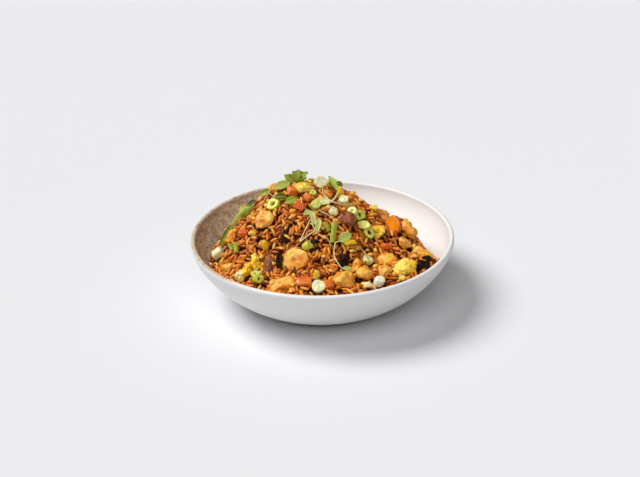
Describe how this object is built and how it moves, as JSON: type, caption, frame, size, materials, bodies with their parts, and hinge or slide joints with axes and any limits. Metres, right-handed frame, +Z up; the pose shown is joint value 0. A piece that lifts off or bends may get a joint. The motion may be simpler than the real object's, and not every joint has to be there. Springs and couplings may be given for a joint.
{
  "type": "bowl of fried rice",
  "caption": "Shallow round stoneware bowl on a foot ring, filled with heaped soy-browned fried rice topped with chicken, egg, carrot, pepper and spring onion.",
  "frame": {"origin": "middle of the foot ring's underside, on the table", "axes": "+Z up, -Y towards the eater, +X to the eater's right"},
  "size_m": [0.22, 0.22, 0.0993],
  "materials": {
    "stoneware": "satin off-white glaze, speckled taupe inside on the left",
    "rice": "moist, soy-browned grains",
    "chicken": "fried, oily",
    "egg": "soft, moist",
    "beef": "dark, oily",
    "mushroom": "near black, wet",
    "carrot": "wet",
    "pepper": "wet",
    "onion": "fresh, moist",
    "microgreens": "soft leaves"
  },
  "bodies": {
    "root": {"beef_crown": "beef", "beef_left": "beef", "bowl": "stoneware", "carrot_slice": "carrot", "chicken_back": "chicken", "chicken_back_left": "chicken", "chicken_back_right": "chicken", "chicken_curl": "chicken", "chicken_front_left": "chicken", "chicken_left_edge": "chicken", "chicken_left_rim": "chicken", "chicken_left_top": "chicken", "chicken_ribbed": "chicken", "chicken_right_end": "chicken", "chicken_right_flank": "chicken", "chicken_right_low": "chicken", "chicken_right_middle": "chicken", "chicken_rim_left": "chicken", "chicken_rim_right": "chicken", "chicken_shoulder_back": "chicken", "chicken_shoulder_side": "chicken", "egg_back": "egg", "egg_crown": "egg", "egg_left": "egg", "egg_left_low": "egg", "egg_right": "egg", "egg_shoulder": "egg", "mushroom_middle": "mushroom", "mushroom_right": "mushroom", "onion_cube_front": "onion", "onion_green_crown": "onion", "onion_ring_back": "onion", "onion_ring_browned": "onion", "onion_ring_left": "onion", "onion_ring_middle": "onion", "onion_ring_right": "onion", "onion_ring_right_low": "onion", "onion_white_crown": "onion", "onion_white_front": "onion", "onion_white_left": "onion", "pepper_front": "pepper", "rice_heap": "rice"}
  },
  "joints": []
}
